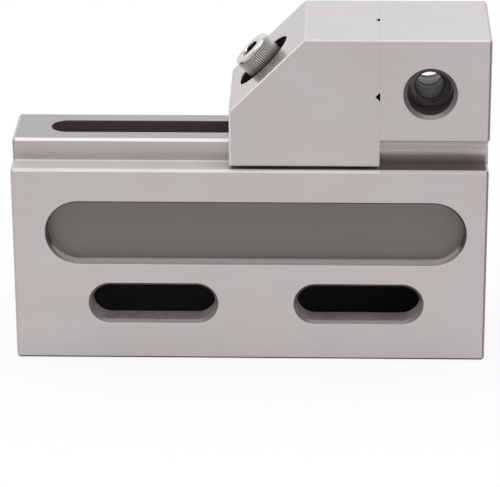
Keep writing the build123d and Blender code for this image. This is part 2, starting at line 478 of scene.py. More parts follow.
@dataclass(frozen=True)
class BoxZone:
    """A box of machined surface, and how softly it ends."""

    low: Place
    high: Place
    edge: float = 0.04

    def mask(self, metal: Metal) -> Socket:
        """Place the zone's mask in a material.

        Args:
            metal: tree of the material.

        Returns:
            The mask socket.
        """
        low, high = np.array(self.low), np.array(self.high)
        return metal.effect(
            metal.effects.box_zone,
            Vector=metal.place,
            Centre=in_metres((low + high) / 2),
            Half_Size=in_metres((high - low) / 2),
            Edge=self.edge * MM,
        )["Mask"]


@dataclass(frozen=True)
class BoreZone:
    """Everything within a radius of an axis, and how softly it ends."""

    centre: Place
    direction: Place
    radius: float
    edge: float = 0.04

    def mask(self, metal: Metal) -> Socket:
        """Place the zone's mask in a material."""
        return metal.effect(
            metal.effects.bore_zone,
            Vector=metal.place,
            Centre=in_metres(self.centre),
            Direction=self.direction,
            Radius=self.radius * MM,
            Edge=self.edge * MM,
        )["Mask"]


@dataclass(frozen=True)
class PlaneZone:
    """Everything on the side of a plane that its normal points to, and how softly it ends."""

    point: Place
    normal: Place
    edge: float = 0.02

    def mask(self, metal: Metal) -> Socket:
        """Place the mask: a smooth step of (place - point) . normal.

        Args:
            metal: tree of the material.

        Returns:
            The mask socket.
        """
        offset = metal.vector("SUBTRACT", metal.place, in_metres(self.point))
        height = metal.vector("DOT_PRODUCT", offset, self.normal)
        return metal.remap(height, -self.edge * MM, self.edge * MM)


@dataclass(frozen=True)
class Both:
    """Where two zones overlap."""

    first: "Zone"
    second: "Zone"

    def mask(self, metal: Metal) -> Socket:
        """Place both masks and multiply them."""
        return metal.math("MULTIPLY", self.first.mask(metal), self.second.mask(metal))


Zone = BoxZone | BoreZone | PlaneZone | Both
Zones = tuple[tuple[SteelTone, tuple[Zone, ...]], ...]


def across(x: Span, reach: float, z: Span, edge: float = 0.04) -> BoxZone:
    """Box that reaches equally far to the front and to the back."""
    return BoxZone((x[0], -reach, z[0]), (x[1], reach, z[1]), edge)


def past_cut(outer: float, cut: float) -> float:
    """Place just inside a broken edge of a size, measured from the face that it cuts."""
    return outer - cut + SKIN / 2


def both_sides(x: Span, y: Span, z: Span) -> tuple[BoxZone, BoxZone]:
    """Boxes at the front and at the back, between two distances from the middle plane."""
    return BoxZone((x[0], -y[1], z[0]), (x[1], -y[0], z[1])), BoxZone((x[0], y[0], z[0]), (x[1], y[1], z[1]))


@dataclass(frozen=True)
class GroundSteel:
    """Hardened tool steel: ground outside, duller where a cutter worked it, with faint clouds and fine lines.

    Each zone gets its own tone over the ground tone, some of them painted shade or painted highlights. Turned
    zones carry rings round the Y direction, streaked zones carry coarse lines along X, and cut zones the
    uneven marks of a milling cutter.
    """

    name: str
    zones: Zones
    turned: tuple[Zone, ...] = ()
    turned_centre: Place = (0.0, 0.0, 0.0)
    streaked: tuple[Zone, ...] = ()
    cut: tuple[Zone, ...] = ()
    ground: SteelTone = SteelTone((0.570, 0.559, 0.560), 0.34)
    warm_shift: Color = (0.577, 0.551, 0.549)
    gloss_swing: float = 0.08
    cloud_size: float = 28.0
    cloud_contrast: float = 0.10
    lines_per_mm: float = 5.0
    line_depth: float = 0.0012
    line_contrast: float = 0.16
    streaks_per_mm: float = 1.3
    streak_contrast: float = 0.05
    deep_streak_contrast: float = 1.6
    rings_per_mm: float = 0.95
    ring_depth: float = 0.060
    ring_contrast: float = 7.5
    ring_wander: float = 0.06
    pits_per_mm: float = 1.5
    pit_contrast: float = 1.5

    def build(self, effects: SharedEffects) -> Material:
        """Build the material.

        Args:
            effects: shared node groups.

        Returns:
            The material.
        """
        metal = Metal(self.name, effects)
        clouds = metal.clouds(self.cloud_size, self.cloud_contrast)
        grain = metal.lines(Grain.ALONG_X, self.lines_per_mm, self.line_contrast)
        streaks = metal.lines(Grain.ALONG_X, self.streaks_per_mm, 1.0)
        rings = metal.lines(Grain.NONE, self.rings_per_mm, self.ring_contrast, self.round_hole(metal))
        pits = metal.lines(Grain.NONE, self.pits_per_mm, self.pit_contrast)
        turned = metal.union(self.turned)

        color = metal.mix(clouds["Warmth"], self.ground.color, self.warm_shift)
        least_rough = self.ground.roughness - self.gloss_swing / 2
        roughness = metal.math("MULTIPLY_ADD", grain["Height"], self.gloss_swing, least_rough)
        tones = metal.lay_tones(self.zones, color, roughness)
        contrast = metal.blend(metal.union(self.streaked), self.streak_contrast, self.deep_streak_contrast)
        streak_tone = metal.swing(streaks["Tone"], 1.0, contrast)
        line_tone = metal.blend(turned, grain["Tone"], rings["Tone"])
        line_tone = metal.blend(metal.union(self.cut), line_tone, pits["Tone"])
        shade = metal.math("MULTIPLY", metal.math("MULTIPLY", clouds["Tone"], line_tone), streak_tone)
        ring_height = metal.math("MULTIPLY", rings["Height"], self.ring_depth / self.line_depth)
        height = metal.blend(turned, grain["Height"], ring_height)
        return metal.finish(tones, shade, height, self.line_depth)

    def round_hole(self, metal: Metal) -> Socket:
        """Coordinates that change only along a hole's axis and away from it: noise on them makes rings.

        Args:
            metal: tree of the material.

        Returns:
            A vector with the radius plus the depth along Y, and a little of the place itself.
        """
        x, y, z = metal.split(metal.vector("SUBTRACT", metal.place, in_metres(self.turned_centre)))
        radius = metal.vector("LENGTH", metal.combine(x, 0.0, z))
        x, z = (metal.math("MULTIPLY", value, self.ring_wander) for value in (x, z))
        return metal.combine(x, metal.math("ADD", radius, y), z)


@dataclass(frozen=True)
class PlatedSteel:
    """Nickel or black oxide on a turned piece, with fine marks and with tones of its own in some zones."""

    name: str
    plating: SteelTone
    zones: Zones = ()
    gloss_swing: float = 0.10
    cloud_size: float = 6.0
    cloud_contrast: float = 0.15
    lines_per_mm: float = 4.0
    line_depth: float = 0.001
    line_contrast: float = 0.12

    def build(self, effects: SharedEffects) -> Material:
        """Build the material.

        Args:
            effects: shared node groups.

        Returns:
            The material.
        """
        metal = Metal(self.name, effects)
        clouds = metal.clouds(self.cloud_size, self.cloud_contrast)
        grain = metal.lines(Grain.NONE, self.lines_per_mm, self.line_contrast)
        least_rough = self.plating.roughness - self.gloss_swing / 2
        roughness = metal.math("MULTIPLY_ADD", grain["Height"], self.gloss_swing, least_rough)
        tones = metal.lay_tones(self.zones, self.plating.color, roughness)
        shade = metal.math("MULTIPLY", clouds["Tone"], grain["Tone"])
        return metal.finish(tones, shade, grain["Height"], self.line_depth)


def assign(piece: Object, material: Material) -> None:
    """Put a material on every slot of a piece, or on a first slot if it has none.

    Args:
        piece: the piece to dress.
        material: its finish.
    """
    if not piece.material_slots:
        piece.data.materials.append(material)
    for slot in piece.material_slots:
        slot.material = material


# Meshes

# Points closer than the first length are one point, and edges shorter than the second are dropped
SAME_POINT = 0.0005
SLIVER = 0.0002

# Points on each rounded corner of an outline
CURVE_POINTS = 6


def surface(name: str, points: Array, sharp_angle: float = 35.0) -> Object:
    """Skin a grid of points with quads and close it where rows or columns meet.

    A quad joins point (i, j) to (i, j + 1), (i + 1, j + 1) and (i + 1, j). Points that coincide are merged,
    which closes the seam and the poles, and the faces are then turned outwards.

    Args:
        name: name of the piece.
        points: grid of places in metres, shaped rows by columns by 3.
        sharp_angle: edges that turn by more than this many degrees stay crisp.

    Returns:
        The new object, linked to the scene.
    """
    rows, columns = points.shape[:2]
    index = np.arange(rows * columns).reshape(rows, columns)
    corners = (index[:-1, :-1], index[:-1, 1:], index[1:, 1:], index[1:, :-1])
    quads = np.stack(corners, axis=-1).reshape(-1, 4)
    mesh = bpy.data.meshes.new(name)
    mesh.from_pydata(points.reshape(-1, 3).tolist(), [], quads.tolist())
    shell = bmesh.new()
    shell.from_mesh(mesh)
    bmesh.ops.remove_doubles(shell, verts=shell.verts, dist=SAME_POINT * MM)
    bmesh.ops.dissolve_degenerate(shell, edges=shell.edges, dist=SLIVER * MM)
    bmesh.ops.recalc_face_normals(shell, faces=shell.faces)
    shell.to_mesh(mesh)
    shell.free()
    mesh.shade_smooth()
    mesh.set_sharp_from_angle(angle=math.radians(sharp_angle))
    piece = bpy.data.objects.new(name, mesh)
    bpy.context.scene.collection.objects.link(piece)
    return piece


def rounded(corners: list[Span], radii: tuple[float, ...]) -> Array:
    """Round the corners of an open outline.

    Each inner corner P becomes a quadratic curve (1 - t)^2 A + 2 t (1 - t) P + t^2 B, where A and B lie a
    radius before and after P on its two sides. The first and last points stay.

    Args:
        corners: outline points, n pairs.
        radii: length cut from each side of each inner corner, n - 2 values.

    Returns:
        The rounded outline, shaped m by 2.
    """
    points = np.array(corners, float)
    middle = points[1:-1]
    back, ahead = points[:-2] - middle, points[2:] - middle
    back /= np.linalg.norm(back, axis=1, keepdims=True)
    ahead /= np.linalg.norm(ahead, axis=1, keepdims=True)
    cut = np.array(radii)[:, None]
    start, end = middle + back * cut, middle + ahead * cut
    t = np.linspace(0, 1, CURVE_POINTS)[None, :, None]
    curves = (1 - t) ** 2 * start[:, None] + 2 * t * (1 - t) * middle[:, None] + t**2 * end[:, None]
    return np.vstack([points[:1], curves.reshape(-1, 2), points[-1:]])


@dataclass(frozen=True)
class ScrewFrame:
    """Places on the slanted screw: the pivot is the centre of the head's underside.

    A point at radius r, angle a and height h lies at pivot + r cos(a) up_slope + r sin(a) across + h outward.
    """

    pivot: Array
    up_slope: Array
    outward: Array

    def skin(self, name: str, rows: list[Array], angle: Array, sharp_angle: float) -> Object:
        """Skin rows of points round the screw's axis.

        Args:
            name: name of the piece.
            rows: arrays shaped 2 by rows by columns, with the radii and the heights, to be stacked in order.
            angle: column angles, 0 up the slope.
            sharp_angle: edges that turn by more than this many degrees stay crisp.

        Returns:
            The new object.
        """
        radius, height = np.concatenate(rows, axis=1)[..., None]
        across_slope = np.cross(self.outward, self.up_slope)
        flat = np.cos(angle)[:, None] * self.up_slope + np.sin(angle)[:, None] * across_slope
        return surface(name, (self.pivot + radius * flat + height * self.outward) * MM, sharp_angle)

    def above(self, height: float) -> PlaneZone:
        """Everything further out along the screw than a height above the pivot."""
        return PlaneZone(tuple(self.pivot + self.outward * height), tuple(self.outward))

    def below(self, height: float, edge: float = 0.02) -> PlaneZone:
        """Everything further in along the screw than a height above the pivot."""
        return PlaneZone(tuple(self.pivot + self.outward * height), tuple(-self.outward), edge)

    def beside(self, reach: float) -> Both:
        """Everything within a distance up or down the slope from the screw's axis."""
        sides = (self.up_slope, -self.up_slope)
        return Both(*(PlaneZone(tuple(self.pivot + side * reach), tuple(-side)) for side in sides))

    def round_axis(self, radius: float, edge: float = 0.04) -> BoreZone:
        """Everything nearer to the screw's axis than a radius."""
        return BoreZone(tuple(self.pivot), tuple(self.outward), radius, edge)

    @staticmethod
    def from_record(record: dict) -> "ScrewFrame":
        """Read the screw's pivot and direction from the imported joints.

        Args:
            record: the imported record.

        Returns:
            The frame of the screw.
        """
        turn = next(j for j in record["behaviour"]["joints"] if j["name"] == "screw_turn")
        outward = -np.array(turn["axis"], float)
        up_slope = np.array((outward[2], 0.0, -outward[0]))
        return ScrewFrame(np.array(turn["pos_m"], float) / MM, up_slope, outward)


def turned_rows(outline: Array, angle: Array) -> Array:
    """Carry an outline of radii and heights round all columns."""
    return np.repeat(outline.T[:, :, None], len(angle), axis=2)


@dataclass(frozen=True)
class ClampScrew:
    """M8 cap screw: knurled head with a hexagon socket, plain shank and rolled thread."""

    frame: ScrewFrame
    head_diameter: float = 13.0
    head_height: float = 8.0
    crown_round: float = 0.9
    foot_round: float = 0.3
    fillet: float = 0.35
    shank_start: float = -1.0
    knurl_ridges: int = 60
    columns_per_ridge: int = 4
    knurl_depth: float = 0.34
    knurl_foot: float = 0.6
    knurl_top: float = 6.7
    knurl_foot_fade: float = 0.1
    knurl_top_fade: float = 0.25
    socket_width: float = 6.0
    socket_depth: float = 4.0
    socket_mouth: float = 7.3
    cone_angle: float = 30.0
    shank_diameter: float = 8.0
    length: float = 70.0
    thread_length: float = 28.0
    pitch: float = 1.25
    thread_depth: float = 0.6134 * 0.88
    thread_shares: tuple[float, ...] = (0.0, 0.125, 0.4375, 0.6875)
    spare_turns: int = 3
    tip_chamfer: float = 1.0
    sharp_angle: float = 28.0

    def mouth_height(self, radius: Array | float) -> Array | float:
        """Height of the countersunk mouth at a radius: a cone of 45 degrees."""
        return self.head_height - (self.socket_mouth / 2 - radius)

    def socket_rows(self, angle: Array) -> Array:
        """Socket from its centre out to the mouth.

        The hexagon's radius is the apothem over cos(b), where b is the angle to the nearest flat's middle.
        The countersunk mouth is a cone, so the wall meets it higher where the hexagon reaches further out.

        Args:
            angle: column angles.

        Returns:
            Radii and heights, shaped 2 by rows by columns.
        """
        apothem = self.socket_width / 2
        sixth = math.pi / 3
        hexagon = apothem / np.cos((angle % sixth) - sixth / 2)
        same = np.ones_like(angle)
        floor = self.head_height - self.socket_depth
        apex = floor - apothem * math.tan(math.radians(self.cone_angle))
        radii = [0 * same, apothem * same, hexagon, hexagon, self.socket_mouth / 2 * same]
        rim = self.mouth_height(hexagon)
        heights = [apex * same, floor * same, floor * same, rim, self.head_height * same]
        return np.array([radii, heights])

    def head_rows(self, angle: Array) -> Array:
        """Head from the socket's mouth, over the rounded crown, down the knurl and in to the shank.

        The knurl lowers the wall by its depth times 1 - tri(a), where tri is a triangle wave with one tooth
        for each ridge, and fades to nothing at the ends of the knurled band.

        Args:
            angle: column angles.

        Returns:
            Radii and heights, shaped 2 by rows by columns.
        """
        radius, shank = self.head_diameter / 2, self.shank_diameter / 2
        corners = [(self.socket_mouth / 2, self.head_height), (radius, self.head_height)]
        corners += [(radius, 0.0), (shank, 0.0), (shank, self.shank_start)]
        outline = rounded(corners, (self.crown_round, self.foot_round, self.fillet))
        tooth = np.abs(((angle * self.knurl_ridges / (2 * math.pi)) % 1.0) * 2 - 1)
        band = (
            (self.knurl_top + self.knurl_top_fade, 0.0),
            (self.knurl_top, 1.0),
            (self.knurl_foot + self.knurl_foot_fade, 1.0),
            (self.knurl_foot - self.knurl_foot_fade, 0.0),
        )
        radii = [radius - share * self.knurl_depth * (1 - tooth) for _, share in band]
        wall = np.array([radii, [np.full_like(angle, height) for height, _ in band]])
        crown, foot = outline[: 1 + CURVE_POINTS], outline[1 + CURVE_POINTS :]
        return np.concatenate([turned_rows(crown, angle), wall, turned_rows(foot, angle)], axis=1)

    def thread_rows(self, angle: Array) -> Array:
        """Rolled thread: crest, flank, root and flank repeat down the shank and follow the helix.

        Row k of a turn lies at top - pitch (k - a / 2 pi), held between the thread's two ends, so every row
        climbs one pitch in a full turn. The depth grows from nothing over the first turn, and the tip's cone
        cuts the last one.

        Args:
            angle: column angles.

        Returns:
            Radii and heights, shaped 2 by rows by columns.
        """
        crest = self.shank_diameter / 2
        depths = np.array([0.0, 0.0, 1.0, 1.0]) * self.thread_depth * self.pitch
        turns = int(self.thread_length / self.pitch) + self.spare_turns
        row = (np.arange(turns)[:, None] + np.array(self.thread_shares)).reshape(-1, 1)
        top = self.thread_length - self.length
        raw = top + self.pitch * (1 - row + angle / (2 * math.pi))
        height = np.clip(raw, -self.length, top)
        fade = np.clip((top - height) / self.pitch, 0, 1)
        radius = crest - np.tile(depths, turns)[:, None] * fade
        cone = crest - self.tip_chamfer + (height + self.length)
        return np.array([np.minimum(radius, cone), height])

    def build(self) -> Object:
        """Build the whole screw as one closed skin from the socket's centre to the tip.

        Returns:
            The screw.
        """
        angle = np.linspace(0, 2 * math.pi, self.knurl_ridges * self.columns_per_ridge + 1)
        tip = turned_rows(np.array([(0.0, -self.length)]), angle)
        rows = [self.socket_rows(angle), self.head_rows(angle), self.thread_rows(angle), tip]
        return self.frame.skin("clamp_screw_dressed", rows, angle, self.sharp_angle)


@dataclass(frozen=True)
class BallWasher:
    """Washer with a flat top and a ball shaped underside, its edges broken."""

    frame: ScrewFrame
    ball_radius: float = 8.95
    rim_diameter: float = 16.5
    height: float = 5.0
    bore: float = 9.0
    edge_round: float = 0.25
    columns: int = 144
    arc_points: int = 14
    sharp_angle: float = 40.0

    def build(self) -> Object:
        """Turn the outline about the screw's axis; the ball is r^2 + h^2 = ball_radius^2.

        Returns:
            The washer.
        """
        rim, hole = self.rim_diameter / 2, self.bore / 2
        rim_height = -math.sqrt(self.ball_radius**2 - rim**2)
        arc_height = np.linspace(rim_height, -self.height, self.arc_points)
        arc = np.column_stack([np.sqrt(self.ball_radius**2 - arc_height**2), arc_height])
        radii = (self.edge_round, self.edge_round)
        top = rounded([(hole, -self.height / 2), (hole, 0.0), (rim, 0.0), arc[0]], radii)
        foot = rounded([arc[-2], arc[-1], (hole, -self.height), (hole, -self.height / 2)], radii)
        angle = np.linspace(0, 2 * math.pi, self.columns + 1)
        rows = [turned_rows(np.vstack([top, arc[1:-2], foot]), angle)]
        return self.frame.skin("ball_washer_dressed", rows, angle, self.sharp_angle)


# Assemblies


@dataclass
class ViseBody:
    """Body with its fixed jaw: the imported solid, dressed by where each surface lies."""

    half_length: float = 75.0
    half_width: float = 20.0
    base_height: float = 65.0
    chamfer: float = 0.8
    jaw_top: float = 108.0
    jaw_top_chamfer: float = 0.4
    jaw_foot: float = 74.5
    jaw_foot_chamfer: float = 0.7
    rail_top: float = 72.1
    rail_half_width: float = 11.5
    slot_half_width: float = 5.36
    slot_chamfer: float = 0.35
    clamp_x: float = 40.75
    hole_centre: Place = (56.3, 0.0, 90.4)
    hole_mouth: float = 8.6
    mouth_depth: float = 1.22
    small_hole: float = 4.7
    small_hole_y: Span = (-11.4, 2.9)
    shadow_rim_depths: Span = (1.0, 1.8)
    rim_overlap: float = 0.1
    pocket_floor_y: float = 16.0
    pocket_foot: float = 33.4
    recess_chamfer: float = 0.72
    recess_end_x: float = 62.0
    recess_end_softness: float = 2.5
    bolt_chamfer: float = 1.02
    cavity_half_width: float = 12.6
    cavity_top: float = 58.05
    milled: SteelTone = SteelTone((0.235, 0.221, 0.210), 0.55, 0.4)
    walls: SteelTone = SteelTone((0.720, 0.692, 0.674), 0.55, 0.45)
    bolt_walls: SteelTone = SteelTone((0.330, 0.313, 0.302), 0.55, 0.45)
    recess_edges: SteelTone = SteelTone((0.205, 0.195, 0.189), 0.42, 0.80)
    # Painted shade: darker end walls of the long recesses
    shaded_recess_ends: SteelTone = SteelTone((0.088, 0.083, 0.080), 0.42, 0.80)
    broken_edges: SteelTone = SteelTone((0.460, 0.446, 0.438), 0.40)
    rail_edges: SteelTone = SteelTone((0.550, 0.532, 0.520), 0.40)
    # Painted shade: base chamfers under the fixed jaw's overhang
    shaded_edge_under_jaw: SteelTone = SteelTone((0.340, 0.328, 0.322), 0.40)
    # Painted shade: darker chamfers at the fixed jaw's end of the body
    shaded_near_end_edges: SteelTone = SteelTone((0.260, 0.250, 0.244), 0.40)
    far_end_edges: SteelTone = SteelTone((0.500, 0.490, 0.478), 0.40)
    rail_end_edges: SteelTone = SteelTone((0.350, 0.342, 0.332), 0.40)
    # Painted contact shadow: near black chamfer along the foot of the base
    contact_shadow_foot_edges: SteelTone = SteelTone((0.030, 0.028, 0.027), 0.50, 0.5)
    jaw_foot_edges: SteelTone = SteelTone((0.520, 0.500, 0.490), 0.50, 0.4)
    bored: SteelTone = SteelTone((0.150, 0.141, 0.134), 0.50, 0.55)
    bore_mouth: SteelTone = SteelTone((0.220, 0.210, 0.206), 0.42, 0.85)
    # Painted shade: darker tone inside the narrow through hole
    shaded_small_bore: SteelTone = SteelTone((0.085, 0.082, 0.079), 0.50, 0.55)
    # Painted shadow: near black rims where the small hole meets the counterbores
    shadow_hole_rims: SteelTone = SteelTone((0.010, 0.010, 0.009), 0.60, 0.4)
    # Painted shade: near black inside the cavity under the rail
    shaded_cavity: SteelTone = SteelTone((0.060, 0.057, 0.055), 0.60, 0.5)
    slot_wall: SteelTone = SteelTone((0.165, 0.155, 0.148), 0.55, 0.5)
    slot_rim: SteelTone = SteelTone((0.020, 0.019, 0.018), 0.55, 0.4)
    rail: SteelTone = SteelTone((0.352, 0.339, 0.331), 0.30)
    rail_walls: SteelTone = SteelTone((0.515, 0.492, 0.483), 0.34)
    ledge: SteelTone = SteelTone((0.672, 0.653, 0.644), 0.50, 0.3)
    # Painted shade: ledge under the fixed jaw's overhang
    shaded_ledge_under_jaw: SteelTone = SteelTone((0.200, 0.176, 0.167), 0.40, 0.7)
    # Painted light: bright strip of ledge along the foot of the rail walls, where the walls throw light down
    wall_foot: SteelTone = SteelTone((0.960, 0.940, 0.925), 0.55, 0.2)
    glow_strip_width: float = 1.1
    neck: SteelTone = SteelTone((0.650, 0.592, 0.568), 0.20, 0.62)
    # Painted reflection: lighter band across the neck walls
    neck_highlight_band: SteelTone = SteelTone((0.870, 0.800, 0.765), 0.20, 0.62)
    # Painted shade: darker top of the neck walls
    neck_shaded_top: SteelTone = SteelTone((0.470, 0.430, 0.412), 0.20, 0.62)
    # Heights of the painted band's foot and head and of the painted shade's foot
    neck_levels: tuple[float, float, float] = (66.9, 68.2, 69.2)
    neck_softness: float = 1.2

    def dress(self, node: Object, effects: SharedEffects) -> None:
        """Give the solid its ground outside and its milled recesses.

        Args:
            node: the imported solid.
            effects: shared node groups.
        """
        neck = self.neck_wall()
        depth = self.half_width - self.mouth_depth
        finish = GroundSteel(
            "ground_steel_body_finish",
            (
                *self.edges(),
                *self.rail_and_ledge(),
                *self.neck_tones(neck),
                *self.recesses(),
                *self.cross_hole(),
            ),
            turned=(self.in_hole(self.hole_mouth - SKIN, -depth, depth),),
            turned_centre=self.hole_centre,
            streaked=(neck,),
            cut=self.bolt_slot_walls(),
        )
        assign(node, finish.build(effects))

    def inside(self) -> Span:
        """Reach along X of everything within the broken edges of both ends."""
        reach = self.half_length - self.chamfer - SKIN
        return -reach, reach

    def strips(self, height: float, reach: float, cut: float, start: float) -> tuple[BoxZone, BoxZone]:
        """Boxes round the two broken edges of a level face.

        Args:
            height: height of the face.
            reach: its half width before its edges were broken.
            cut: size of the broken edge.
            start: where the strips begin along X.

        Returns:
            The front and the back box.
        """
        x = (start, self.half_length + MARGIN)
        y = (past_cut(reach, cut), reach + SKIN)
        return both_sides(x, y, (past_cut(height, cut), height + SKIN))

    def edges(self) -> Zones:
        """Broken edges along the tops, at both ends and at the foot, duller than the faces beside them. The
        foot's edge is a painted contact shadow, and the edges at the fixed jaw's end and under the fixed jaw
        hold painted shade.

        Returns:
            The tones with their zones.
        """
        base = self.strips(self.base_height, self.half_width, self.chamfer, -self.half_length)
        jaw = self.strips(self.jaw_top, self.half_width, self.jaw_top_chamfer, -self.half_length)
        rail = self.strips(self.rail_top, self.rail_half_width, self.chamfer, -self.half_length)
        # painted shade on the base's chamfers under the fixed jaw
        shaded_strips = self.strips(self.base_height, self.half_width, self.chamfer, self.clamp_x)
        inset = self.chamfer - SKIN
        near_end, far_end = (self.half_length - inset, FAR), (-FAR, inset - self.half_length)
        side, rail_side = (self.half_width - inset, FAR), (self.rail_half_width - inset, FAR)
        foot = across((-FAR, FAR), FAR, (SKIN / 2, self.chamfer - SKIN / 2))
        jaw_foot = both_sides(
            (self.clamp_x, self.half_length - MARGIN),
            (past_cut(self.half_width, self.jaw_foot_chamfer), self.half_width + MARGIN),
            (self.jaw_foot + SKIN / 2, self.jaw_foot + self.jaw_foot_chamfer - SKIN / 2),
        )
        return (
            (self.broken_edges, (*base, *jaw)),
            (self.rail_edges, rail),
            (self.shaded_edge_under_jaw, shaded_strips),
            # painted shade on the chamfers at the fixed jaw's end
            (self.shaded_near_end_edges, both_sides(near_end, side, (0.0, FAR))),
            (self.far_end_edges, both_sides(far_end, side, (0.0, self.base_height))),
            (self.rail_end_edges, both_sides(far_end, rail_side, (self.base_height, self.rail_top))),
            # painted contact shadow along the foot
            (self.contact_shadow_foot_edges, (foot,)),
            (self.jaw_foot_edges, jaw_foot),
        )

    def rail_and_ledge(self) -> Zones:
        """Top and walls of the rail, and the ledge beside it, with painted shade on the ledge where the fixed
        jaw overhangs it and a painted bright strip along the foot of the rail walls.

        Returns:
            The tones with their zones.
        """
        x = self.inside()
        level = (self.base_height - SKIN, self.base_height + SKIN)
        reach, rail_reach = self.half_width - self.chamfer, self.rail_half_width - self.chamfer
        rail = across(
            (-self.half_length - MARGIN, self.clamp_x - SKIN),
            rail_reach,
            (self.rail_top - SKIN, self.rail_top + SKIN),
        )
        wall_z = (level[1], self.rail_top - self.chamfer)
        walls = across((x[0], self.clamp_x), self.rail_half_width + SKIN, wall_z)
        return (
            (self.rail_walls, (walls,)),
            (self.rail, (rail,)),
            (self.ledge, (across(x, reach, level),)),
            # painted light along the foot of the rail walls
            (self.wall_foot, (across(x, self.rail_half_width + self.glow_strip_width, level),)),
            # painted shade on the ledge under the fixed jaw
            (self.shaded_ledge_under_jaw, (across((self.clamp_x, x[1]), reach, level),)),
        )

    def neck_wall(self) -> BoxZone:
        """Both walls of the neck under the fixed jaw."""
        x, z = (self.clamp_x, self.half_length - self.chamfer), (self.base_height + SKIN, self.jaw_foot)
        return across(x, self.rail_half_width + SKIN, z)

    def neck_tones(self, neck: BoxZone) -> Zones:
        """Neck with a painted light band and a painted darker top, above what its walls mirror of the ledge.

        Args:
            neck: zone of both walls.

        Returns:
            The tones with their zones.
        """
        low, high, top = self.neck_levels
        band = across((-FAR, FAR), FAR, (low, high), self.neck_softness)
        upper = across((-FAR, FAR), FAR, (top, FAR), self.neck_softness)
        return (
            (self.neck, (neck,)),
            # painted reflection band, then painted shade above it
            (self.neck_highlight_band, (Both(neck, band),)),
            (self.neck_shaded_top, (Both(neck, upper),)),
        )

    def recesses(self) -> Zones:
        """Long recesses, bolt slots, rail slot and inner cavity, from the outside inwards, with painted shade
        on the ends of the long recesses and inside the cavity.

        Returns:
            The tones with their zones.
        """
        x = self.inside()
        low, high = self.chamfer + SKIN, self.base_height - self.chamfer - SKIN
        bolt_z = (low, self.pocket_foot - MARGIN)
        recess = across(x, self.half_width - SKIN, (low, high))
        end_z = (self.pocket_foot + 2 * self.recess_end_softness, FAR)
        end_spans = ((-FAR, -self.recess_end_x), (self.recess_end_x, FAR))
        ends = tuple(Both(recess, across(span, FAR, end_z, self.recess_end_softness)) for span in end_spans)
        slot_x, slot_top = (x[0], self.clamp_x), self.rail_top - self.slot_chamfer - SKIN / 2
        slot = across(slot_x, self.slot_half_width, (high - MARGIN, slot_top))
        rim = across(slot_x, self.slot_half_width, (slot_top, self.rail_top - SKIN / 2))
        return (
            (self.recess_edges, (recess,)),
            (self.walls, (across(x, self.half_width - self.recess_chamfer, (low, high)),)),
            # painted shade on the end walls of the long recesses
            (self.shaded_recess_ends, ends),
            (self.recess_edges, (across(x, self.half_width - SKIN, bolt_z),)),
            (self.milled, (across(x, self.pocket_floor_y + SKIN, (low, high)),)),
            (self.bolt_walls, (across(x, self.half_width - self.bolt_chamfer, bolt_z),)),
            (self.slot_wall, (slot,)),
            (self.slot_rim, (rim,)),
            # painted shade inside the cavity
            (self.shaded_cavity, (across(x, self.cavity_half_width, (-MARGIN, self.cavity_top)),)),
        )

    def bolt_slot_walls(self) -> tuple[BoxZone, BoxZone]:
        """Milled walls of the bolt slots, front and back."""
        y = (self.cavity_half_width, self.half_width - self.recess_chamfer)
        return both_sides(self.inside(), y, (self.chamfer + SKIN, self.pocket_foot - MARGIN))

    def in_hole(self, radius: float, low_y: float, high_y: float) -> Both:
        """Everything within a radius of the cross hole's axis, between two places along it."""
        slab = BoxZone((-FAR, low_y, -FAR), (FAR, high_y, FAR))
        return Both(BoreZone(self.hole_centre, ALONG_Y, radius), slab)

    def cross_hole(self) -> Zones:
        """Counterbores with their broken mouths, and the small hole, darker with painted shade, with a
        painted shadow rim at each end.

        Returns:
            The tones with their zones.
        """
        face, depth = self.half_width - SKIN, self.half_width - self.mouth_depth
        outer = self.half_width - SKIN / 2
        front, back = self.small_hole_y
        front_rim, back_rim = self.shadow_rim_depths
        mouths = (self.in_hole(self.hole_mouth, -outer, -depth), self.in_hole(self.hole_mouth, depth, outer))
        rims = (
            self.in_hole(self.small_hole, front - self.rim_overlap, front + front_rim),
            self.in_hole(self.small_hole, back - back_rim, back + self.rim_overlap),
        )
        return (
            (self.bored, (self.in_hole(self.hole_mouth - SKIN, -face, face),)),
            (self.bore_mouth, mouths),
            # painted shade in the small hole and painted shadows at its rims
            (self.shaded_small_bore, (self.in_hole(self.small_hole, front, back),)),
            (self.shadow_hole_rims, rims),
        )


